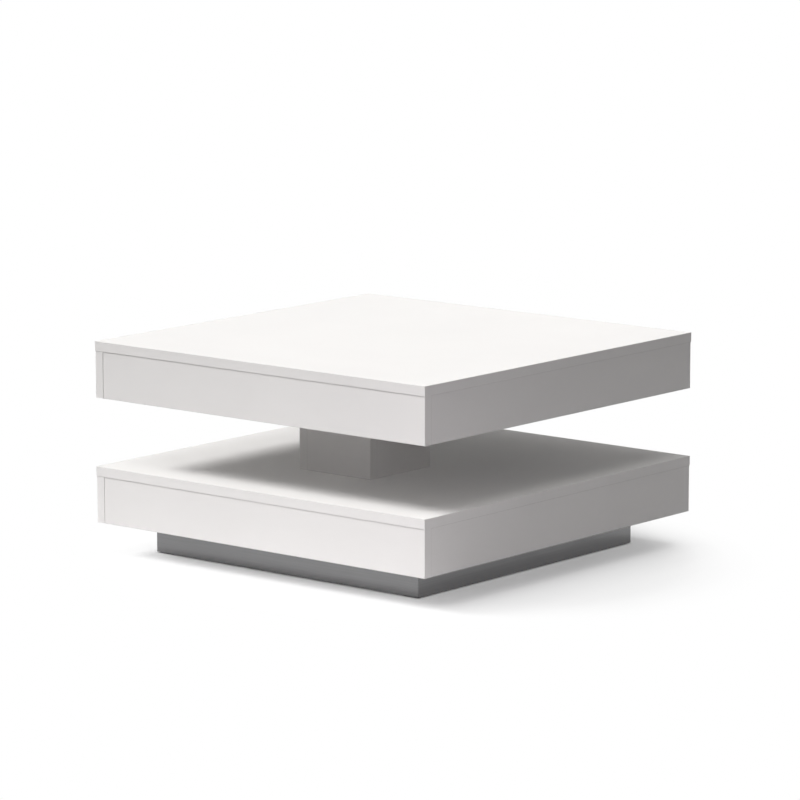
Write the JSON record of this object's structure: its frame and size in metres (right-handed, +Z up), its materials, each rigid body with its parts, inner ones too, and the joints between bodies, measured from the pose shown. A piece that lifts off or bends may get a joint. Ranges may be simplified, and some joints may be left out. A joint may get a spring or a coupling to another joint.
{
  "type": "swivel coffee table",
  "caption": "Low square coffee table of white boards: a box-shaped top deck turns on an off-centre column above a matching lower deck with an open shelf, on a recessed silver plinth.",
  "frame": {"origin": "on the floor, under the middle of the square decks at rest", "axes": "+Z up, -Y to the front, where the column stands nearer, +X to the right"},
  "size_m": [0.7, 0.7, 0.356],
  "materials": {
    "white_board": "white satin laminate",
    "backing_board": "grey backing foil",
    "raw_board": "raw chipboard",
    "silver_board": "silver-grey foil",
    "zinc_steel": "zinc plated",
    "ball_steel": "polished",
    "cage_plastic": "moulded natural nylon",
    "felt": "felt"
  },
  "bodies": {
    "base": {"column_cap": "raw_board", "column_foot": "raw_board", "column_front_board": "white_board", "column_left_board": "white_board", "column_rear_board": "white_board", "column_right_board": "white_board", "column_screws": "zinc_steel", "floor_pads": "felt", "lower_bottom_board": "backing_board", "lower_corner_blocks": "raw_board", "lower_front_apron": "white_board", "lower_left_apron": "white_board", "lower_left_rib": "raw_board", "lower_rear_apron": "white_board", "lower_right_apron": "white_board", "lower_right_rib": "raw_board", "plinth_corner_blocks": "raw_board", "plinth_front_board": "silver_board", "plinth_left_board": "silver_board", "plinth_rail": "raw_board", "plinth_rear_board": "silver_board", "plinth_right_board": "silver_board", "shelf_board": "white_board", "swivel_lower_plate": "zinc_steel", "swivel_lower_screws": "zinc_steel"},
    "upper_deck": {"swivel_upper_plate": "zinc_steel", "swivel_upper_screws": "zinc_steel", "upper_bottom_board": "backing_board", "upper_corner_blocks": "raw_board", "upper_front_apron": "white_board", "upper_left_apron": "white_board", "upper_left_rib": "raw_board", "upper_rear_apron": "white_board", "upper_right_apron": "white_board", "upper_right_rib": "raw_board", "upper_top_board": "white_board"},
    "ball_ring": {"swivel_balls": "ball_steel", "swivel_cage": "cage_plastic"}
  },
  "joints": [
    {"name": "top_swivel", "type": "hinge", "parent": "base", "child": "upper_deck", "pos_m": [0, -0.078, 0.257], "axis": [0, 0, 1], "continuous": true},
    {"name": "ball_ring_turn", "type": "hinge", "parent": "base", "child": "ball_ring", "pos_m": [0, -0.078, 0.257], "axis": [0, 0, 1], "continuous": true}
  ],
  "couplings": [
    {"joint": "ball_ring_turn", "follows": "top_swivel", "ratio": 0.5}
  ]
}
